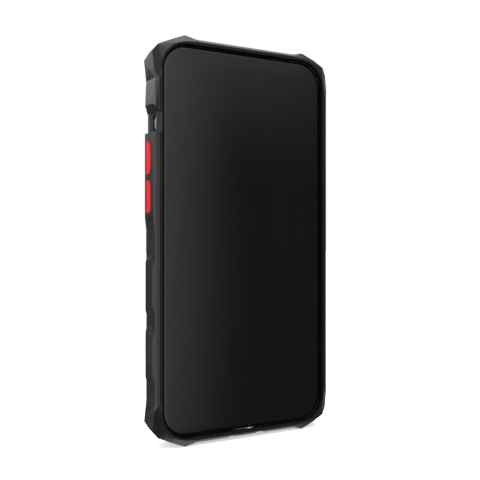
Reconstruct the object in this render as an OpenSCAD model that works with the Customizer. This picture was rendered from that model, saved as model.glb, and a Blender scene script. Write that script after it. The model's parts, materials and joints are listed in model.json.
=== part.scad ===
// Rugged phone case with gem-cut corner guards, side grips and press-through buttons.
// Each sub-part is drawn lying on its back: X runs across the case, Y along its length,
// and Z = 0 is the front of the lip, with the depth of the case going down from there.
// upright() then stands it on its lower corner guards, facing -Y.

/* [Phone] */
// Height of the phone that the case is made for
phone_h = 146.7; // [140:0.1:155]
// Width of that phone
phone_w = 71.5; // [68:0.1:76]
// Thickness of that phone, without its cameras
phone_t = 7.65; // [7.2:0.05:8.6]
// Radius of the phone's corners, seen from the front
phone_r = 10.2; // [9.6:0.1:11]
// Room left between the phone and the case
fit_gap = 0.2; // [0.15:0.01:0.3]

/* [Keys and ports] */
// Height of the volume up key above the middle of the phone
key_up_y = 30.7; // [30.4:0.1:31.2]
// Height of the volume down key above the middle of the phone
key_down_y = 16.35; // [15.8:0.05:16.6]
// Height of the side key above the middle of the phone
side_key_y = 23.9; // [23.4:0.1:24.4]
// Height of the ring switch above the middle of the phone
switch_y = 43.8; // [43.5:0.1:44.1]
// Length of a volume button
button_l = 12.1; // [11.4:0.1:12.4]
// Length of the side button
side_button_l = 18.4; // [17:0.1:18.8]
// Width of every button
button_w = 3.7; // [3.4:0.1:4.2]
// How far a button stands proud of its panel
button_proud = 0.55; // [0.52:0.01:0.7]
// How far a button can be pressed in
button_travel = 0.5; // [0.3:0.05:0.5]
// Length of the slot for the ring switch
slot_l = 6.9; // [6.4:0.1:7.2]
// Width of the slot for the ring switch
slot_w = 3.1; // [2.8:0.1:3.3]

/* [Shell] */
// How far the lip stands in front of the glass
lip_h = 1.4; // [1.2:0.05:1.8]
// Wall of the soft inner sleeve
sleeve_t = 1.1; // [1.05:0.05:1.2]
// Wall of the outer frame along the two long sides
side_t = 1.5; // [1.45:0.05:1.7]
// Wall of the outer frame at the top and the bottom
end_t = 1; // [0.9:0.05:1.2]
// Thickness of the back plate
plate_t = 2.35; // [2.2:0.05:2.8]
// Thickness of the lining inside the back plate
lining_t = 0.5; // [0.4:0.05:0.6]
// How far the side grips stand proud of the frame
grip_h = 0.5; // [0.4:0.05:0.5]

/* [Corner guards] */
// How far a guard stands proud of the top or the bottom edge
guard_peak = 1.15; // [0.8:0.05:1.5]
// How far a guard stands proud of the side
guard_side = 0.85; // [0.6:0.05:1]
// Length of a guard along the top or the bottom edge
guard_across = 17.05; // [16.5:0.05:18]
// Length of a guard along the side
guard_down = 16.1; // [15.5:0.05:16.5]
// How far the back corners stand proud of the back plate
guard_foot = 0.35; // [0.2:0.05:0.5]

/* [Camera opening] */
// Width and height of the opening
camera_open = 33; // [30:0.5:34]
// Distance of its middle from the middle line of the phone
camera_x = 16.2; // [15.8:0.1:16.4]
// Distance of its middle above the middle of the phone
camera_y = 53.4; // [52.5:0.1:54]
// How far the ring around it stands proud of the back plate
camera_ring_h = 1.2; // [0.8:0.05:1.6]
// Width of that ring
camera_ring_t = 2.2; // [1.8:0.1:2.4]

/* [Hidden] */
$fn = 96;
eps = 0.01;
past = 0.5;                                  // how far a cutter runs past a face

// Cavity, and the layers around it
cav_x = phone_w / 2 + fit_gap;
cav_y = phone_h / 2 + fit_gap;
cav_r = phone_r + fit_gap;
cav_z = -(lip_h + phone_t + fit_gap);        // back of the cavity
plate_z = cav_z - lining_t;                  // inner face of the back plate
case_d = -plate_z + plate_t;                 // depth without the camera ring
web_t = 0.4;                                 // frame wall that runs under the guards
web_o = sleeve_t + web_t;
side_x = cav_x + sleeve_t + side_t;
end_y = cav_y + sleeve_t + end_t;
grip_x = side_x + grip_h;
overall_h = 2 * (end_y + guard_peak);
overall_d = case_d + camera_ring_h;
mid_z = -(lip_h + phone_t / 2);              // middle of the phone's thickness

// Edges of the frame
bevel_f = 1.05;                              // front bevel along the sides
shoulder_z = -(case_d - 2.65);               // where the back bevel starts
plate_o = 0.5;                               // back plate past the cavity's outline
lap_o = 0.6;                                 // lip left bare beside a guard
lap_z = -1;                                  // depth of the guard's lap over the lip
bead = 0.1;                                  // how far the lip closes in over the phone
bead_z = -1;                                 // depth of that bead
guard_x0 = side_x - guard_across;
guard_y0 = end_y - guard_down;

// Back
field_h = 0.3;                               // raised field of the back plate
field_rim = 3.2;
camera_r = 8.5;

// Blocks that let the grips and panels into the frame
block_back = shoulder_z + 0.9;
block_front = -2;
block_end = 2;                               // how much shorter a grip's block is at each end
grip_in = 0.5;                               // how deep a grip is let in
ridge_z = -6.5;                              // depth of the ridge along a grip
face_z = -2.8;                               // where a grip's face starts, ridge_drop lower
ridge_drop = 0.25;
seat_x = grip_x - 1.05;                      // floor that the panels and caps sit over

// Buttons
cap_gap = 0.2;
cap_z = mid_z - 0.6;                          // the caps sit a little behind their stems
cap_x = grip_x + button_proud;
cap_t = cap_x - seat_x - button_travel - 0.1;
stem_w = 2;
stem_inset = 4;                              // stem is this much shorter than the cap
foot_t = 0.6;
foot_pocket = 0.9;                           // pocket in the sleeve for the foot
foot_extra = 1.6;                            // foot past the stem, so that it can't pull out
foot_x = cav_x + foot_pocket - 0.1;          // outer face of the foot at rest

// Switch notch in the left side
notch_lo = switch_y - 3.85;
notch_hi = switch_y + 3.9;
notch_rise = 1.56;                           // slope of its upper end
notch_x = cav_x + sleeve_t - 0.05;           // its floor, in the sleeve
notch_flat_z = -2.7;                         // depth where the floor's front slope ends

// Low and high ends of the panels' blocks along the case
volume_block = [key_down_y - button_l / 2 - 4.35, notch_lo - 0.6];
side_key_block = [side_key_y - side_button_l / 2 - 2.2, side_key_y + side_button_l / 2 + 2.2];

// Charging port in the lower edge
port_w = 12.6;
port_d = 6.2;
port_notch = 0.65;
port_flare = 2.1;

// Display dummy
bezel = 0.7;                                 // metal band around the glass
glass_t = 0.8;
band_drop = 0.35;                            // band set back behind the glass
key_gap = 4.6;                               // width of the openings for the keys

// ---------- shared shapes ----------

module upright() {
    translate([0, -overall_d / 2, overall_h / 2]) rotate([90, 0, 0]) children();
}

// The cavity's outline moved out by o, with true arcs
module outline(o) {
    r = cav_r + o;
    square([2 * (cav_x + o), 2 * (cav_y - cav_r)], center = true);
    square([2 * (cav_x - cav_r), 2 * (cav_y + o)], center = true);
    for (sx = [-1, 1], sy = [-1, 1])
        translate([sx * (cav_x - cav_r), sy * (cav_y - cav_r)]) circle(r);
}

// Solid of that outline between two depths
module slab(o, z0, z1) {
    translate([0, 0, z0]) linear_extrude(z1 - z0) outline(o);
}

// A profile of [offset from the cavity wall, depth] carried once around a rounded rectangle
module around(hx, hy, r, pts) {
    for (turn = [0, 180]) rotate([0, 0, turn]) {
        rotate([90, 0, 0]) linear_extrude(2 * (hy - r), center = true)
            polygon([for (p = pts) [hx + p[0], p[1]]]);
        rotate([0, 0, 90]) rotate([90, 0, 0]) linear_extrude(2 * (hx - r), center = true)
            polygon([for (p = pts) [hy + p[0], p[1]]]);
        translate([hx - r, hy - r, 0]) corner_arc(r, pts);
        translate([r - hx, hy - r, 0]) rotate([0, 0, 90]) corner_arc(r, pts);
    }
}

module corner_arc(r, pts) {
    rotate_extrude(angle = 90) polygon([for (p = pts) [r + p[0], p[1]]]);
}

module around_cavity(pts) {
    around(cav_x, cav_y, cav_r, pts);
}

// A stadium along Y
module stadium(l, w) {
    square([w, l - w], center = true);
    for (s = [-1, 1]) translate([0, s * (l - w) / 2]) circle(w / 2);
}

// A stadium prism that crosses one side wall (side is -1 for left, 1 for right)
module through_side(side, y, l, w, x0, x1, z = mid_z) {
    mirror([side < 0 ? 1 : 0, 0, 0])
        translate([x0, y, z]) rotate([0, 90, 0]) linear_extrude(x1 - x0) stadium(l, w);
}

// A block in the right side wall, from lo to hi along the case and from x0 out to x1
module side_block(lo, hi, x0, x1) {
    translate([x0, lo, block_back]) cube([x1 - x0, hi - lo, block_front - block_back]);
}

// The convex solid of a list of points
module facets(pts) {
    hull() polyhedron(points = pts, faces = [[for (i = [0 : len(pts) - 1]) i]]);
}

// Four boxes that hold the guards' corners
module guard_zones(z0, z1) {
    for (sx = [-1, 1], sy = [-1, 1])
        mirror([sx < 0 ? 1 : 0, 0, 0]) mirror([0, sy < 0 ? 1 : 0, 0])
            translate([guard_x0, guard_y0, z0])
                cube([guard_across + past, guard_down + past, z1 - z0]);
}

// ---------- sleeve, frame and back ----------

module inner_sleeve() {
    upright() color("#1b1b1d") difference() {
        around_cavity([[-bead, 0], [sleeve_t, 0], [sleeve_t, plate_z], [0, plate_z],
                       [0, bead_z - bead], [-bead, bead_z]]);
        intersection() {
            guard_zones(lap_z, past);
            around_cavity([[lap_o, past], [sleeve_t + past, past],
                           [sleeve_t + past, lap_z], [lap_o, lap_z]]);
        }
        for (sx = [-1, 1], sy = [-1, 1]) cushion(sx, sy, past);
        stem_holes();
        switch_notch();
        switch_slot();
        slot_flare();
        port_window();
        sound_holes();
    }
}

// One half of the frame's cross-section: o is its outer face, i its inner one
function frame_section(o, i, ledge, bevel) = [
    [i, 0], [o - bevel, 0], [o, -bevel], [o, shoulder_z],
    [ledge + 0.2, -case_d], [ledge, -case_d], [ledge, plate_z], [i, plate_z],
];

module frame_rails() {
    for (s = [0, 180]) rotate([0, 0, s]) {
        rotate([90, 0, 0]) linear_extrude(2 * guard_y0, center = true)
            polygon(frame_section(side_x, cav_x + sleeve_t, cav_x + plate_o, bevel_f));
        rotate([0, 0, 90]) rotate([90, 0, 0]) linear_extrude(2 * guard_x0, center = true)
            polygon(frame_section(end_y, cav_y + sleeve_t, cav_y + plate_o, end_t));
    }
}

module outer_frame() {
    upright() color("#242427") difference() {
        union() {
            frame_rails();
            around_cavity([[sleeve_t, lap_z], [web_o, lap_z], [web_o, -case_d + 1],
                           [web_o - 0.9, -case_d], [plate_o, -case_d],
                           [plate_o, plate_z], [sleeve_t, plate_z]]);
        }
        stem_holes();
        switch_notch();
        switch_slot();
        mirror([1, 0, 0]) side_block(volume_block[0], volume_block[1], seat_x, side_x + past);
        side_block(side_key_block[0], side_key_block[1], seat_x, side_x + past);
        for (g = grips) mirror([g[0] < 0 ? 1 : 0, 0, 0]) grip_block(g);
        port_seat();
        port_window();
        sound_holes();
        recess_facets();
    }
}

// Shallow two-faced hollows that run along the frame between the grips
module recess_facets() {
    depth = 0.28;
    for (r = recesses) mirror([r[0] < 0 ? 1 : 0, 0, 0]) facets([
        for (t = [-1, 1]) each [
            [side_x + eps, r[1] + t * r[2] / 2, -bevel_f - 0.5],
            [side_x + eps, r[1] + t * (r[2] / 2 - 1), shoulder_z + 1.5],
            [side_x - depth, r[1] + t * r[2] / 5, mid_z + 1],
            [side_x + past, r[1] + t * r[2] / 2, -bevel_f - 0.5],
            [side_x + past, r[1] + t * (r[2] / 2 - 1), shoulder_z + 1.5],
        ],
    ]);
}

module back_plate() {
    upright() color("#2b2b2f") difference() {
        union() {
            slab(plate_o, -case_d + field_h, plate_z);
            difference() {
                slab(plate_o - field_rim, -case_d, -case_d + field_h);
                back_channels();
            }
        }
        camera_cut(0, plate_z + past);
    }
}

// Slanting grip channels near both edges of the raised field of the back
module back_channels() {
    for (s = [0, 1], k = [0 : 5])
        mirror([s, 0, 0]) translate([15, -58 + 11 * k, -case_d - past])
            rotate([0, 0, 32]) cube([26, 1.2, field_h + past]);
}

module back_lining() {
    upright() color("#4a4c52") difference() {
        slab(-0.3, plate_z, cav_z);
        camera_cut(0.4, cav_z + past);
    }
}

// The camera opening, grown by o on each side, up to height z1
module camera_cut(o, z1) {
    half = camera_open / 2 + o;
    r = camera_r + o;
    translate([camera_x, camera_y, -overall_d - past]) linear_extrude(z1 + overall_d + past) {
        square([2 * half, 2 * (half - r)], center = true);
        square([2 * (half - r), 2 * half], center = true);
        for (sx = [-1, 1], sy = [-1, 1]) translate([sx * (half - r), sy * (half - r)]) circle(r);
    }
}

module camera_ring() {
    half = camera_open / 2;
    back = -case_d + field_h;
    bevel = 0.7;
    upright() color("#5a5a60") difference() {
        translate([camera_x, camera_y, 0])
            around(half, half, camera_r, [
                [0, back], [camera_ring_t, back], [camera_ring_t, -overall_d + bevel],
                [camera_ring_t - bevel, -overall_d], [bevel / 2, -overall_d],
                [0, -overall_d + bevel / 2]]);
        slab(plate_o - field_rim, -case_d, back + eps);
    }
}

// ---------- corner guards and cushions ----------

// Points of a guard as [across, along, depth] from the frame's outer corner
guard_points = [
    // front face
    [-guard_across + 0.4, -end_t, 0], [-12.2, -1.4, 0], [-7.6, -2.75, 0],
    [-4.8, -5.4, 0], [-2.6, -9.6, 0], [-bevel_f, -guard_down, 0],
    // inner corners of the front face, which end under the lip's edge
    [-guard_across + 0.4, -2.7, 0], [-2.7, -guard_down, 0],
    // front shoulder
    [-guard_across, 0, -bevel_f], [-12.2, guard_peak, -1.45], [-6.65, -1.15, -1],
    [-1.5, -3.35, -1.67], [0.45, -6.15, -2.5], [0.25, -13.25, -1.28], [0, -guard_down, -bevel_f],
    // gem face on the side
    [guard_side - 0.1, -8.45, -6], [guard_side - 0.1, -11.75, -6],
    // back shoulder
    [-guard_across, 0, shoulder_z], [-11.4, guard_peak, shoulder_z],
    [-5.4, -1.1, shoulder_z], [-1.2, -5.1, shoulder_z],
    [guard_side, -8.3, shoulder_z], [0, -guard_down, shoulder_z],
    // back face
    [-guard_across, -1.4, -case_d], [-11.9, -0.5, -case_d - guard_foot],
    [-6.5, -2.3, -case_d - guard_foot], [-2.7, -6.4, -case_d - guard_foot],
    [-0.9, -11, -case_d - guard_foot], [-1.95, -guard_down, -case_d],
];

module corner_guard(sx, sy) {
    upright() color("#2e2e32")
        mirror([sx < 0 ? 1 : 0, 0, 0]) mirror([0, sy < 0 ? 1 : 0, 0]) difference() {
            translate([side_x, end_y, 0]) facets(guard_points);
            slab(lap_o, lap_z, past);
            slab(web_o, -case_d + 1, lap_z + eps);
            back_shoulder_cut();
        }
}

// What the frame's own back edge takes out of a guard
module back_shoulder_cut() {
    slab(plate_o, -case_d - past, -case_d + 1 + eps);
    around_cavity([[plate_o - eps, -case_d], [web_o - 0.9, -case_d],
                   [web_o, -case_d + 1], [plate_o - eps, -case_d + 1]]);
}

module corner_guard_top_left() { corner_guard(-1, 1); }
module corner_guard_top_right() { corner_guard(1, 1); }
module corner_guard_bottom_left() { corner_guard(-1, -1); }
module corner_guard_bottom_right() { corner_guard(1, -1); }

// A soft insert in the sleeve's inner corner; with inward > 0, the cutter of its pocket
module cushion(sx, sy, inward = 0) {
    cushion_t = 0.6;
    arc = 62;
    front = -lip_h - 0.8;
    back = cav_z + 0.4;
    mirror([sx < 0 ? 1 : 0, 0, 0]) mirror([0, sy < 0 ? 1 : 0, 0])
        translate([cav_x - cav_r, cav_y - cav_r, 0]) rotate([0, 0, 45 - arc / 2])
            rotate_extrude(angle = arc)
                polygon([[cav_r - inward, front], [cav_r + cushion_t, front],
                         [cav_r + cushion_t, back], [cav_r - inward, back]]);
}

module corner_cushion(sx, sy) { upright() color("#7d8087") cushion(sx, sy); }
module corner_cushion_top_left() { corner_cushion(-1, 1); }
module corner_cushion_top_right() { corner_cushion(1, 1); }
module corner_cushion_bottom_left() { corner_cushion(-1, -1); }
module corner_cushion_bottom_right() { corner_cushion(1, -1); }

// ---------- side grips ----------

// Each grip: side, middle and length along the case
grips = [
    [-1, 53.6, 8.2], [-1, -16.9, 23.6], [-1, -42.3, 22.6],
    [1, 43.4, 12.6], [1, -16.6, 17.6], [1, -42.8, 14.6],
];
// The hollows between them
recesses = [
    [-1, -0.6, 8.6], [-1, -56.6, 5.4],
    [1, -1, 12.6], [1, -30.4, 9.6], [1, -54.8, 8.6], [1, 54.4, 8.6],
];

// The raised part of a grip: base corners on the frame, a face that leans to the front,
// a ridge grip_h higher than the frame, and slanting ends
module raised(lo, hi) {
    facets([
        for (e = [[lo, 1], [hi, -1]]) each [
            [side_x, e[0] + e[1] * 2.4, -bevel_f],
            [side_x, e[0], -3.2],
            [side_x, e[0] + e[1] * 1.5, shoulder_z],
            [grip_x - ridge_drop, e[0] + e[1] * 4.9, face_z],
            [grip_x, e[0] + e[1] * 4.2, ridge_z],
            [grip_x - 0.1, e[0] + e[1] * 2.8, shoulder_z],
        ],
    ]);
}

// The part of a grip that is let into the frame
module grip_block(g) {
    half = g[2] / 2 - block_end;
    side_block(g[1] - half, g[1] + half, side_x - grip_in, side_x + eps);
}

module grip(g) {
    upright() color("#333338") mirror([g[0] < 0 ? 1 : 0, 0, 0]) {
        raised(g[1] - g[2] / 2, g[1] + g[2] / 2);
        grip_block(g);
    }
}

// The upper left grip is a wedge that rises from the guard down to the notch
module grip_left_top() {
    top = guard_y0 - eps;
    low = notch_hi;
    upright() color("#333338") {
        difference() {
            mirror([1, 0, 0]) facets([
                [side_x - bevel_f, top, 0], [side_x, top, -bevel_f], [side_x, top, shoulder_z],
                [side_x + 0.15, low + 8.4, -5],
                [side_x - bevel_f, low, 0], [side_x, low + 1, -0.5],
                [grip_x, low + 2.5, -1.9], [grip_x, low + 2.8, ridge_z],
                [side_x, low, shoulder_z], [grip_x - 0.1, low + 2.5, shoulder_z],
            ]);
            frame_rails();
            switch_notch();
        }
        mirror([1, 0, 0]) grip_block(grips[0]);
    }
}

module grip_left_middle() { grip(grips[1]); }
module grip_left_low() { grip(grips[2]); }
module grip_right_top() { grip(grips[3]); }
module grip_right_middle() { grip(grips[4]); }
module grip_right_low() { grip(grips[5]); }

// ---------- button panels ----------

module volume_panel() {
    lo = volume_block[0] - 2.1;
    hi = notch_lo;
    upright() color("#2f2f33") difference() {
        mirror([1, 0, 0]) {
            facets([
                for (z = [-bevel_f, mid_z, shoulder_z]) [side_x, hi, z],
                [grip_x, hi, -bevel_f - grip_h], [grip_x, hi, shoulder_z],
                [side_x, lo, -bevel_f], [side_x, lo + 1.6, mid_z], [side_x, lo + 0.6, shoulder_z],
                [grip_x, lo + 5.2, -bevel_f - grip_h], [grip_x, lo + 5.6, mid_z + 2],
                [grip_x, lo + 4.6, shoulder_z],
            ]);
            side_block(volume_block[0], volume_block[1], seat_x, side_x + eps);
        }
        for (y = [key_up_y, key_down_y]) button_pocket(-1, y, button_l);
    }
}

module side_button_panel() {
    lo = side_key_block[0] - 2;
    hi = side_key_block[1] + 1.2;
    front = mid_z + 3.4;                     // the raised ridge around the button
    grip_lo = lo - 4.5;                      // the lower grip that the panel runs on into
    upright() color("#2f2f33") difference() {
        union() {
            facets([
                for (e = [[lo, 1], [hi, -1]]) each [
                    [side_x, e[0], front], [side_x, e[0], shoulder_z],
                    [grip_x, e[0] + e[1] * 1.2, front - grip_h],
                    [grip_x, e[0] + e[1] * 1.2, shoulder_z],
                ],
            ]);
            raised(grip_lo, grip_lo + 18.1);
            side_block(side_key_block[0], side_key_block[1], seat_x, side_x + eps);
        }
        button_pocket(1, side_key_y, side_button_l);
    }
}

module button_pocket(side, y, len) {
    through_side(side, y, len + 2 * cap_gap, button_w + 2 * cap_gap,
                 seat_x - past, grip_x + past, cap_z);
}

// ---------- buttons ----------

module stem_holes() {
    for (b = [[-1, key_up_y, button_l], [-1, key_down_y, button_l], [1, side_key_y, side_button_l]]) {
        through_side(b[0], b[1], b[2] - stem_inset + 2 * cap_gap, stem_w + 2 * cap_gap,
                     cav_x - past, side_x);
        through_side(b[0], b[1], b[2] - stem_inset + foot_extra + 2 * cap_gap,
                     stem_w + foot_extra + 2 * cap_gap, cav_x - past, cav_x + foot_pocket);
    }
}

// Domed cap with the stem that passes through the wall
module button_cap(side, y, len) {
    drop = 0.4;                              // how far the face falls away to its edges
    dome_r = (pow(button_w / 2, 2) + pow(drop, 2)) / (2 * drop);
    upright() color("#d8202e") {
        intersection() {
            through_side(side, y, len, button_w, cap_x - cap_t, cap_x + past, cap_z);
            translate([side * (cap_x - dome_r), y, cap_z]) rotate([90, 0, 0])
                cylinder(r = dome_r, h = len + 2, center = true, $fn = 180);
        }
        through_side(side, y, len - stem_inset, stem_w, foot_x, cap_x - cap_t + eps);
    }
}

// Soft foot inside the sleeve that presses the phone's own key
module button_plunger(side, y, len) {
    upright() color("#3c3c40")
        through_side(side, y, len - stem_inset + foot_extra, stem_w + foot_extra,
                     foot_x - foot_t, foot_x);
}

module volume_up_cap() { button_cap(-1, key_up_y, button_l); }
module volume_up_plunger() { button_plunger(-1, key_up_y, button_l); }
module volume_down_cap() { button_cap(-1, key_down_y, button_l); }
module volume_down_plunger() { button_plunger(-1, key_down_y, button_l); }
module side_button_cap() { button_cap(1, side_key_y, side_button_l); }
module side_button_plunger() { button_plunger(1, side_key_y, side_button_l); }

// ---------- openings in the walls ----------

// Recess around the ring switch, open to the front and the back
module switch_notch() {
    back_x = cav_x + web_o;
    section = [[notch_x - 0.9, past], [notch_x - 0.9, 0], [notch_x, notch_flat_z], [notch_x, cav_z],
               [back_x, plate_z], [back_x, plate_z - 0.6], [back_x - 1.4, -case_d - past],
               [grip_x + past, -case_d - past], [grip_x + past, past]];
    mirror([1, 0, 0]) {
        translate([0, notch_hi, 0]) rotate([90, 0, 0])
            linear_extrude(notch_hi - notch_lo) polygon(section);
        translate([0, 0, -case_d - past]) linear_extrude(case_d + 2 * past)
            polygon([[back_x, notch_hi - eps], [grip_x + past, notch_hi - eps],
                     [grip_x + past, notch_hi + (grip_x + past - back_x) * notch_rise]]);
    }
}

// Slot over the ring switch
module switch_slot() {
    through_side(-1, switch_y, slot_l, slot_w, cav_x - past, side_x);
}

// The slot opens out to the back inside the sleeve, so that a finger can reach the switch
module slot_flare() {
    half = slot_w / 2 - 0.25;
    translate([0, switch_y + (slot_l - slot_w) / 2, 0]) rotate([90, 0, 0])
        linear_extrude(slot_l - slot_w) polygon([
            [-notch_x - eps, mid_z + half], [-notch_x - eps, mid_z - half],
            [past - cav_x, cav_z + 0.2], [past - cav_x, mid_z + half],
        ]);
}

// Window for the plug of the charging cable
module port_window() {
    translate([0, -cav_y, mid_z]) rotate([90, 0, 0]) linear_extrude(8, center = true)
        rotate([0, 0, 90]) stadium(port_w, port_d);
}

// Flared notch in the lower edge, in front of and behind the port
module port_seat() {
    half = port_w / 2;
    mouth = half + port_flare * (1 + past / port_notch);
    translate([0, 0, -case_d - past]) linear_extrude(case_d + 2 * past) polygon([
        [-mouth, -end_y - past], [mouth, -end_y - past],
        [half, -end_y + port_notch], [-half, -end_y + port_notch],
    ]);
}

// Thin liner of the port's window
module port_surround() {
    upright() color("#3a3a3e") difference() {
        translate([0, -end_y + port_notch - 0.35, mid_z]) rotate([90, 0, 0])
            linear_extrude(0.35) rotate([0, 0, 90]) stadium(port_w + 1.6, port_d + 1.4);
        port_window();
    }
}

// Round holes for the speaker and the microphone, beside the port
module sound_holes() {
    for (s = [-1, 1], k = [0 : 2])
        translate([s * (11.4 + 2.6 * k), -cav_y, mid_z]) rotate([90, 0, 0])
            cylinder(d = 1.6, h = 8, center = true);
}

// ---------- shop-display dummy behind the lip ----------

module display_glass() {
    edge = -bezel - fit_gap;
    top = -lip_h;
    upright() color("#0b0c10") difference() {
        slab(edge, top - glass_t, top);
        around_cavity([[edge, top - 0.4], [edge - 0.3, top - 0.12], [edge - 0.85, top],
                       [edge - 0.85, top + past], [edge + past, top + past],
                       [edge + past, top - 0.4]]);
    }
}

module display_band() {
    o = -fit_gap;
    i = o - bezel;
    top = -lip_h - band_drop;
    bottom = cav_z + fit_gap;
    upright() color("#c9ccd1") difference() {
        around_cavity([[i, top], [o - 0.35, top], [o, top - 0.35],
                       [o, bottom + 0.35], [o - 0.35, bottom], [i, bottom]]);
        for (y = [key_up_y, key_down_y])
            through_side(-1, y, button_l - 1, key_gap, cav_x - 3, cav_x + past);
        through_side(1, side_key_y, side_button_l - 1, key_gap, cav_x - 3, cav_x + past);
        port_window();
    }
}

inner_sleeve();
outer_frame();
back_plate();
back_lining();
camera_ring();
corner_guard_top_left();
corner_guard_top_right();
corner_guard_bottom_left();
corner_guard_bottom_right();
corner_cushion_top_left();
corner_cushion_top_right();
corner_cushion_bottom_left();
corner_cushion_bottom_right();
volume_panel();
side_button_panel();
port_surround();
grip_left_top();
grip_left_middle();
grip_left_low();
grip_right_top();
grip_right_middle();
grip_right_low();
volume_up_cap();
volume_up_plunger();
volume_down_cap();
volume_down_plunger();
side_button_cap();
side_button_plunger();
display_glass();
display_band();
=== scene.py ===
"""Looks of the rugged phone case: softened edges, materials, studio light, floor and camera.

The CAD nodes keep their shapes. Each gets rounded edges from modifiers and a material of its
material slot. All lengths are in metres, in the frame's own axes.
"""

import json
import math

import bpy
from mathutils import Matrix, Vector

MM = 0.001
CASE_MIDDLE = 76.8 * MM
PHONE_SPACE = {"half_width": 35.95 * MM, "half_height": 73.55 * MM, "radius": 10.4 * MM}

# Ring switch on the left face of the display band, where the band carries a painted highlight: its
# middle and half its length, and the face's X
SWITCH_HEIGHT = CASE_MIDDLE + 43.8 * MM
SWITCH_HALF = 4.0 * MM
SWITCH_FACE = -35.5 * MM

# Painted shade, near-black, on the front rim of the band where the lip shades it: its outer edge inside
# the phone's space, and its back in Y
PAINTED_SHADE_EDGE = -0.38 * MM
PAINTED_SHADE_BACK = -4.5 * MM

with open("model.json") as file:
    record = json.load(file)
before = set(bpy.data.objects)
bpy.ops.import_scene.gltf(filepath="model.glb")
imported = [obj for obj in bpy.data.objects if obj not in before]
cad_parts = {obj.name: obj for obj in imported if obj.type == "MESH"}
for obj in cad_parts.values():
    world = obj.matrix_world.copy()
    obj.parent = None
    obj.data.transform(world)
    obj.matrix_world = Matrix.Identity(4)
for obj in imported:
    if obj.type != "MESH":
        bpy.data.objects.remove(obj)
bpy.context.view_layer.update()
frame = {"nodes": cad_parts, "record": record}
nodes = frame["nodes"]


# ---------- node helpers ----------


class Shader:
    """A material or world node tree, with short calls to add and link nodes."""

    def __init__(self, owner):
        owner.use_nodes = True
        self.tree = owner.node_tree
        self.tree.nodes.clear()

    def add(self, kind, inputs=None, **settings):
        """Adds a node. Inputs are plain values, or sockets to link from."""
        node = self.tree.nodes.new(kind)
        for name, value in settings.items():
            setattr(node, name, value)
        for name, value in (inputs or {}).items():
            socket = node.inputs[name]
            if isinstance(value, bpy.types.NodeSocket):
                self.tree.links.new(value, socket)
            else:
                socket.default_value = value
        return node

    def math(self, operation, a, b=0.0, clamp=False):
        return self.add("ShaderNodeMath", {0: a, 1: b}, operation=operation, use_clamp=clamp).outputs[0]

    def remap(self, value, low, high, to_low, to_high, smooth=False):
        """The value's range low..high carried to to_low..to_high, and held beyond it."""
        kind = "SMOOTHSTEP" if smooth else "LINEAR"
        ends = {"From Min": low, "From Max": high, "To Min": to_low, "To Max": to_high}
        node = self.add("ShaderNodeMapRange", {"Value": value, **ends}, interpolation_type=kind)
        return node.outputs["Result"]

    def mix(self, factor, a, b):
        node = self.add("ShaderNodeMix", data_type="RGBA")
        for name, value in (("Factor_Float", factor), ("A_Color", a), ("B_Color", b)):
            socket = next(s for s in node.inputs if s.identifier == name)
            if isinstance(value, bpy.types.NodeSocket):
                self.tree.links.new(value, socket)
            else:
                socket.default_value = value
        return next(s for s in node.outputs if s.identifier == "Result_Color")

    def noise(self, where, size, detail=2.0, roughness=0.5):
        """Noise from 0 to 1 with features about `size` metres across."""
        node = self.add(
            "ShaderNodeTexNoise",
            {"Vector": where, "Scale": 1 / size, "Detail": detail, "Roughness": roughness},
        )
        return node.outputs["Fac"]

    def place(self):
        """The point in the part's own frame, in metres."""
        return self.add("ShaderNodeTexCoord").outputs["Object"]

    def stretch(self, where, scale):
        return self.add("ShaderNodeMapping", {"Vector": where, "Scale": scale}).outputs["Vector"]

    def bump(self, height, depth, under=None):
        inputs = {"Height": height, "Distance": depth, "Strength": 1.0}
        if under is not None:
            inputs["Normal"] = under
        return self.add("ShaderNodeBump", inputs).outputs["Normal"]

    def edges(self, radius):
        """1 on edges sharper than the radius, falling to 0 on flats."""
        rounded = self.add("ShaderNodeBevel", {"Radius": radius}, samples=4).outputs["Normal"]
        flat = self.add("ShaderNodeNewGeometry").outputs["Normal"]
        agree = self.add("ShaderNodeVectorMath", {0: rounded, 1: flat}, operation="DOT_PRODUCT")
        return self.remap(agree.outputs["Value"], 0.995, 0.86, 0.0, 1.0)

    def surface(self, **inputs):
        shader = self.add("ShaderNodeBsdfPrincipled", inputs)
        self.add("ShaderNodeOutputMaterial", {"Surface": shader.outputs["BSDF"]})
        return shader


def grey(level):
    return (level, level, level, 1.0)


def new_material(name):
    material = bpy.data.materials.new(name)
    return material, Shader(material)


# ---------- materials ----------


WORN_WIDTH = 0.35 * MM
WORN_AMOUNT = 0.55
MOTTLE = 9 * MM


def moulded(name, new_level, worn_level, roughness, grain, depth, specular):
    """Moulded plastic or rubber: spark-eroded grain, faint mottling, and edges rubbed smooth."""
    material, s = new_material(name)
    where = s.place()
    worn = grey(worn_level)
    fine = s.noise(where, grain * MM, detail=3.0, roughness=0.6)
    broad = s.noise(where, MOTTLE, detail=4.0)
    edge = s.edges(WORN_WIDTH)
    tone = s.mix(s.remap(broad, 0.3, 0.7, 0.0, 0.35), grey(new_level), worn)
    tone = s.mix(s.math("MULTIPLY", edge, WORN_AMOUNT), tone, worn)
    rough = s.remap(broad, 0.25, 0.75, roughness - 0.04, roughness + 0.05)
    rough = s.math("ADD", rough, s.remap(fine, 0.3, 0.7, -0.03, 0.03))
    rough = s.math("SUBTRACT", rough, s.math("MULTIPLY", edge, 0.1), clamp=True)
    inputs = {
        "Base Color": tone,
        "Roughness": rough,
        "Normal": s.bump(fine, depth * MM),
        "Specular IOR Level": specular,
    }
    s.surface(**inputs)
    return material


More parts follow.
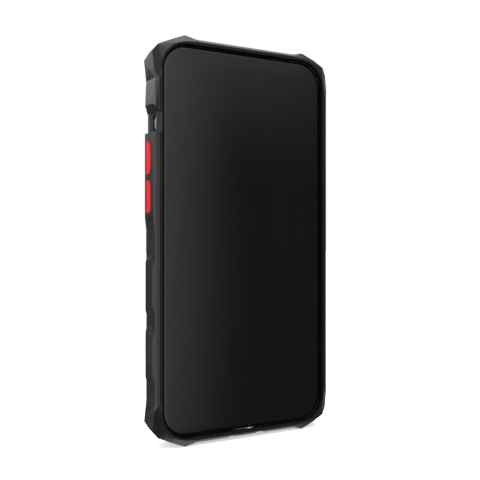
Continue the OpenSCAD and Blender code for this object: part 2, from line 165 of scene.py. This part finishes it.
def microfibre(name):
    """Brushed microfibre cloth glued inside the back."""
    material, s = new_material(name)
    where = s.place()
    nap = s.noise(s.stretch(where, (1.0, 1.0, 0.25)), 0.12 * MM, detail=4.0, roughness=0.7)
    brushed = s.noise(where, 6 * MM, detail=3.0)
    shade = s.math("MULTIPLY", nap, brushed)
    tone = s.mix(s.remap(shade, 0.1, 0.45, 0.0, 1.0), grey(0.035), grey(0.085))
    inputs = {
        "Base Color": tone,
        "Roughness": s.remap(nap, 0.2, 0.8, 0.85, 1.0),
        "Normal": s.bump(nap, 0.06 * MM),
        "Sheen Weight": 0.5,
        "Sheen Roughness": 0.4,
        "Specular IOR Level": 0.15,
    }
    s.surface(**inputs)
    return material


def gel(name):
    """Soft smoky gel with a honeycomb of air cells under its skin."""
    material, s = new_material(name)
    where = s.place()
    cells = s.add(
        "ShaderNodeTexVoronoi",
        {"Vector": where, "Scale": 1 / (1.4 * MM), "Randomness": 0.15},
        feature="DISTANCE_TO_EDGE",
    ).outputs["Distance"]
    wall = s.remap(cells, 0.03, 0.12, 1.0, 0.0, smooth=True)
    fine = s.noise(where, 0.2 * MM, detail=3.0)
    inputs = {
        "Base Color": s.mix(wall, grey(0.09), grey(0.2)),
        "Roughness": s.remap(fine, 0.3, 0.7, 0.22, 0.34),
        "Normal": s.bump(fine, 0.01 * MM, under=s.bump(wall, 0.12 * MM)),
        "Subsurface Weight": 0.25,
        "Subsurface Radius": (0.6 * MM, 0.6 * MM, 0.6 * MM),
        "Coat Weight": 0.3,
        "Coat Roughness": 0.15,
    }
    s.surface(**inputs)
    return material


def red_button(name):
    """Satin red cap: even colour, fine grain, and broad patches a little lighter at random."""
    material, s = new_material(name)
    where = s.place()
    fine = s.noise(where, 0.09 * MM, detail=2.0)
    broad = s.noise(where, 4 * MM, detail=3.0)
    deep, bright = (0.42, 0.004, 0.008, 1.0), (0.56, 0.007, 0.012, 1.0)
    inputs = {
        "Base Color": s.mix(s.remap(broad, 0.3, 0.7, 0.3, 1.0), deep, bright),
        "Roughness": s.math("ADD", s.remap(broad, 0.3, 0.7, 0.42, 0.5), s.math("MULTIPLY", fine, 0.06)),
        "Normal": s.bump(fine, 0.004 * MM),
        "Specular IOR Level": 0.12,
    }
    s.surface(**inputs)
    return material


def dark_glass(name):
    """Black front glass: a near mirror with faint wipe marks."""
    material, s = new_material(name)
    where = s.place()
    wiped = s.noise(s.stretch(where, (1.0, 1.0, 0.2)), 5 * MM, detail=5.0, roughness=0.7)
    dust = s.noise(where, 0.3 * MM, detail=2.0)
    marks = s.math("ADD", s.remap(wiped, 0.45, 0.75, 0.0, 0.03), s.remap(dust, 0.68, 0.8, 0.0, 0.05))
    inputs = {
        "Base Color": s.mix(s.remap(wiped, 0.4, 0.8, 0.0, 1.0), grey(0.0012), grey(0.0022)),
        "Roughness": s.math("ADD", marks, 0.035),
        "Normal": s.bump(wiped, 0.0004 * MM),
        "IOR": 1.5,
    }
    s.surface(**inputs)
    return material


def cavity_distance(s, where):
    """How far a point lies outside the outline of the phone's space, seen from the front."""
    axes = s.add("ShaderNodeSeparateXYZ", {0: where}).outputs
    radius = PHONE_SPACE["radius"]
    past = []
    sides = (("X", 0.0, PHONE_SPACE["half_width"]), ("Z", CASE_MIDDLE, PHONE_SPACE["half_height"]))
    for axis, middle, half in sides:
        reach = s.math("ABSOLUTE", s.math("SUBTRACT", axes[axis], middle))
        past.append(s.math("SUBTRACT", reach, half - radius))
    inner = s.math("MINIMUM", s.math("MAXIMUM", past[0], past[1]), 0.0)
    outer = [s.math("POWER", s.math("MAXIMUM", p, 0.0), 2.0) for p in past]
    corner = s.math("SQRT", s.math("ADD", *outer))
    return s.math("SUBTRACT", s.math("ADD", corner, inner), radius)


def polished_steel(name):
    """Polished steel band with fine lengthwise brushing. Painted shade, near-black and matte, lies on
    its front rim beside the glass, and a painted highlight, matte near-white, on the ring switch in its
    slot."""
    material, s = new_material(name)
    where = s.place()
    axes = s.add("ShaderNodeSeparateXYZ", {0: where}).outputs
    lines = s.noise(s.stretch(where, (0.08, 1.0, 0.08)), 0.05 * MM, detail=3.0)
    haze = s.noise(where, 3 * MM, detail=3.0)
    # Painted shade: a near-black, matte strip on the band's front rim, standing in for the lip's shadow
    # there
    inside = s.remap(cavity_distance(s, where), PAINTED_SHADE_EDGE - 0.07 * MM, PAINTED_SHADE_EDGE, 1.0, 0.0)
    in_front = s.remap(axes["Y"], PAINTED_SHADE_BACK - 0.1 * MM, PAINTED_SHADE_BACK, 1.0, 0.0)
    painted_rim_shade = s.math("MULTIPLY", inside, in_front)
    # Painted highlight: the ring switch zone is matte near-white, standing in for the steel's bright
    # reflection in its slot
    beside = s.remap(axes["X"], SWITCH_FACE, SWITCH_FACE + 0.1 * MM, 1.0, 0.0)
    along = s.math("ABSOLUTE", s.math("SUBTRACT", axes["Z"], SWITCH_HEIGHT))
    switch = s.math("MULTIPLY", beside, s.remap(along, SWITCH_HALF, SWITCH_HALF + 0.1 * MM, 1.0, 0.0))
    # Where the band carries painted shade or a painted highlight, it is not metal
    painted_light_zones = s.math("MAXIMUM", painted_rim_shade, switch)
    steel = s.mix(s.remap(haze, 0.3, 0.7, 0.0, 1.0), (0.5, 0.51, 0.53, 1.0), (0.6, 0.61, 0.63, 1.0))
    # Painted highlight colour, near-white, for the ring switch zone
    painted_highlight_white = s.mix(s.remap(lines, 0.3, 0.7, 0.0, 1.0), grey(0.86), grey(0.95))
    rough = s.math("ADD", s.remap(lines, 0.3, 0.7, 0.12, 0.18), s.remap(haze, 0.4, 0.8, 0.0, 0.05))
    inputs = {
        "Base Color": s.mix(painted_rim_shade, s.mix(switch, steel, painted_highlight_white), grey(0.002)),
        "Metallic": s.math("SUBTRACT", 1.0, painted_light_zones, clamp=True),
        "Roughness": s.math("MAXIMUM", rough, s.math("MULTIPLY", painted_light_zones, 0.6)),
        "Specular IOR Level": s.math("SUBTRACT", 0.5, s.math("MULTIPLY", painted_rim_shade, 0.45)),
        "Normal": s.bump(lines, 0.001 * MM),
    }
    s.surface(**inputs)
    return material


MOULDED = {
    # slot: material, grey where new, grey where worn, roughness, size and depth of grain in mm, specular
    "sleeve_black": ("sleeve_rubber", 0.002, 0.004, 0.5, 0.16, 0.006, 0.25),
    "frame_black": ("frame_plastic", 0.004, 0.007, 0.28, 0.14, 0.003, 0.5),
    "guard_black": ("guard_plastic", 0.005, 0.009, 0.26, 0.14, 0.003, 0.5),
    "back_black": ("back_plastic", 0.007, 0.012, 0.45, 0.2, 0.008, 0.5),
    "ring_black": ("ring_plastic", 0.006, 0.012, 0.3, 0.1, 0.003, 0.5),
    "plunger_black": ("plunger_rubber", 0.005, 0.008, 0.6, 0.18, 0.006, 0.3),
}

FINISH = {slot: moulded(*look) for slot, look in MOULDED.items()}
FINISH["lining_grey"] = microfibre("lining_microfibre")
FINISH["cushion_gel"] = gel("cushion_gel")
FINISH["button_red"] = red_button("button_satin_red")
FINISH["display_glass"] = dark_glass("display_dark_glass")
FINISH["band_silver"] = polished_steel("band_polished_steel")


# ---------- edges ----------


def smooth_by_angle(limit):
    """A geometry node group that shades smooth but for edges sharper than the limit.

    It also drops the normals that came with the mesh.
    """
    group = bpy.data.node_groups.new("smooth_by_angle", "GeometryNodeTree")
    group.interface.new_socket("Geometry", in_out="INPUT", socket_type="NodeSocketGeometry")
    group.interface.new_socket("Geometry", in_out="OUTPUT", socket_type="NodeSocketGeometry")
    mesh_in = group.nodes.new("NodeGroupInput")
    mesh_out = group.nodes.new("NodeGroupOutput")
    normals = group.nodes.new("GeometryNodeSetMeshNormal")
    normals.mode = "SHARPNESS"
    edge_angle = group.nodes.new("GeometryNodeInputMeshEdgeAngle")
    sharper = group.nodes.new("FunctionNodeCompare")
    sharper.operation = "GREATER_THAN"
    sharper.inputs["B"].default_value = limit
    group.links.new(edge_angle.outputs["Unsigned Angle"], sharper.inputs["A"])
    group.links.new(mesh_in.outputs[0], normals.inputs[0])
    group.links.new(sharper.outputs[0], normals.inputs["Edge Sharpness"])
    group.links.new(normals.outputs[0], mesh_out.inputs[0])
    return group


ROUND = smooth_by_angle(math.radians(32))
PLAIN = smooth_by_angle(math.radians(12))
CRISP = smooth_by_angle(math.radians(4))
DOMED = ("volume_up_cap", "volume_down_cap", "side_button_cap", "display_glass", "display_band")
FACETED = ("corner_guard", "grip", "volume_panel", "side_button_panel")

# Width and segments of each piece's rounding, and the angle in degrees from which edges get it
ROUNDING = {
    "outer_frame": (0.12 * MM, 2, 18),
    "inner_sleeve": (0.15 * MM, 3, 25),
    "back_plate": (0.12 * MM, 2, 20),
    "camera_ring": (0.15 * MM, 3, 20),
    "volume_panel": (0.14 * MM, 2, 12),
    "side_button_panel": (0.08 * MM, 2, 12),
    "volume_up_cap": (0.3 * MM, 4, 30),
    "volume_down_cap": (0.3 * MM, 4, 30),
    "side_button_cap": (0.3 * MM, 4, 30),
    "display_glass": (0.1 * MM, 3, 8),
    "display_band": (0.1 * MM, 3, 20),
}
OTHER_ROUNDING = (0.14 * MM, 2, 9)

WELD_GAP = 0.001 * MM
FLAT_ANGLE = math.radians(0.3)

# Joining the flats of these would fold faces over the pocket, or leave gaps in the mesh.
KEEP_FACES = ("side_button_panel", "outer_frame")


def soften(obj, shading, width, segments, angle):
    """Rounds the edges sharper than angle degrees and sets the shading, with modifiers alone."""
    weld = obj.modifiers.new("weld", "WELD")
    weld.merge_threshold = WELD_GAP
    if obj.name not in KEEP_FACES:
        flat = obj.modifiers.new("flats", "DECIMATE")
        flat.decimate_type = "DISSOLVE"
        flat.angle_limit = FLAT_ANGLE
    bevel = obj.modifiers.new("edges", "BEVEL")
    bevel.width = width
    bevel.segments = segments
    bevel.limit_method = "ANGLE"
    bevel.angle_limit = math.radians(angle)
    bevel.use_clamp_overlap = True
    bevel.harden_normals = False
    shade = obj.modifiers.new("shading", "NODES")
    shade.node_group = shading


slot_of = {part["node"]: part["material_slot"] for part in frame["record"]["subparts"]}
for name, obj in nodes.items():
    obj.data.materials.clear()
    obj.data.materials.append(FINISH[slot_of[name]])
    if name.startswith(FACETED):
        shading = CRISP
    else:
        shading = ROUND if name in DOMED else PLAIN
    soften(obj, shading, *ROUNDING.get(name, OTHER_ROUNDING))


# ---------- studio ----------

# Soft panels of light far away. Azimuth is 0 in front and 90 to the right. Each half-width and
# half-height is given where the panel is still full, and where it has faded out, in degrees.
PANELS = [
    # name, azimuth, half-widths, elevation, half-heights, strength
    ("overhead", 0, (180, 181), 90, (14, 52), 3.4),
    ("underlight", 0, (180, 181), -90, (14, 50), 2.2),
    ("left wall", -99, (34, 44), 0, (20, 50), 1.9),
    ("front", 7, (8, 23), -2, (5, 40), 1.25),
    ("front sky", 0, (30, 50), 45, (15, 42), 1.1),
    ("back left", -150, (10, 40), 40, (22, 37), 1.2),
    ("right wall", 125, (10, 35), 10, (20, 55), 0.5),
]
AMBIENT = 0.13


def direction(azimuth, elevation):
    """Unit vector towards a light: azimuth 0 is in front of the object, and 90 to its right."""
    a, e = math.radians(azimuth), math.radians(elevation)
    return Vector((math.sin(a) * math.cos(e), -math.cos(a) * math.cos(e), math.sin(e)))


def build_world():
    """Lights the case by the panels and an even ambient light. The camera sees plain white behind."""
    world = bpy.data.worlds.new("studio")
    bpy.context.scene.world = world
    s = Shader(world)
    where = s.add("ShaderNodeTexCoord").outputs["Generated"]
    level = s.add("ShaderNodeVectorMath", {0: where, 1: (1, 1, 0)}, operation="MULTIPLY")
    around = s.add("ShaderNodeVectorMath", {0: level.outputs[0]}, operation="NORMALIZE").outputs[0]
    height = s.math("ARCSINE", s.add("ShaderNodeSeparateXYZ", {0: where}).outputs["Z"])
    total = AMBIENT
    for _, azimuth, widths, elevation, heights, strength in PANELS:
        facing = s.add(
            "ShaderNodeVectorMath", {0: around, 1: direction(azimuth, 0)}, operation="DOT_PRODUCT"
        ).outputs["Value"]
        turned = s.math("ARCCOSINE", facing)
        raised = s.math("ABSOLUTE", s.math("SUBTRACT", height, math.radians(elevation)))
        across = s.remap(turned, *map(math.radians, widths), strength, 0.0, smooth=True)
        upward = s.remap(raised, *map(math.radians, heights), 1.0, 0.0, smooth=True)
        total = s.math("ADD", s.math("MULTIPLY", across, upward), total)
    lights = s.add("ShaderNodeBackground", {"Color": grey(1.0), "Strength": total})
    backdrop = s.add("ShaderNodeBackground", {"Color": grey(1.0), "Strength": 1.0})
    seen = s.add("ShaderNodeLightPath").outputs["Is Camera Ray"]
    mixed = s.add("ShaderNodeMixShader", {0: seen, 1: lights.outputs[0], 2: backdrop.outputs[0]})
    s.add("ShaderNodeOutputWorld", {"Surface": mixed.outputs[0]})


FLOOR_SIZE = 8
FLOOR_GAP = 0.02 * MM
FLOOR_GLOW = 0.5


def build_floor():
    """A white floor a hair below the guards, which glows a little so that its shadow stays faint."""
    bpy.ops.mesh.primitive_plane_add(size=FLOOR_SIZE, location=(0, 0, -FLOOR_GAP))
    floor = bpy.context.object
    floor.name = "floor"
    material, s = new_material("floor_white")
    inputs = {
        "Base Color": grey(0.93),
        "Roughness": 0.9,
        "Specular IOR Level": 0.1,
        "Emission Color": grey(1.0),
        "Emission Strength": FLOOR_GLOW,
    }
    s.surface(**inputs)
    floor.data.materials.append(material)
    floor.visible_glossy = False


CAMERA_TARGET = Vector((0, -0.6 * MM, CASE_MIDDLE))
CAMERA_AZIMUTH = -29.8
CAMERA_DISTANCE = 286.2 * MM
LENS = 54.1
SENSOR = 36
SHIFT_UP = 0.002


def build_camera():
    """Level with the middle of the case, and turned to its left."""
    camera = bpy.data.cameras.new("camera")
    camera.lens = LENS
    camera.sensor_width = SENSOR
    camera.shift_y = SHIFT_UP
    camera.clip_start, camera.clip_end = 0.01, 20
    obj = bpy.data.objects.new("camera", camera)
    bpy.context.scene.collection.objects.link(obj)
    away = direction(CAMERA_AZIMUTH, 0)
    obj.location = CAMERA_TARGET + away * CAMERA_DISTANCE
    obj.rotation_euler = (-away).to_track_quat("-Z", "Y").to_euler()
    bpy.context.scene.camera = obj


build_world()
build_floor()
build_camera()
bpy.context.scene.view_settings.view_transform = "Standard"
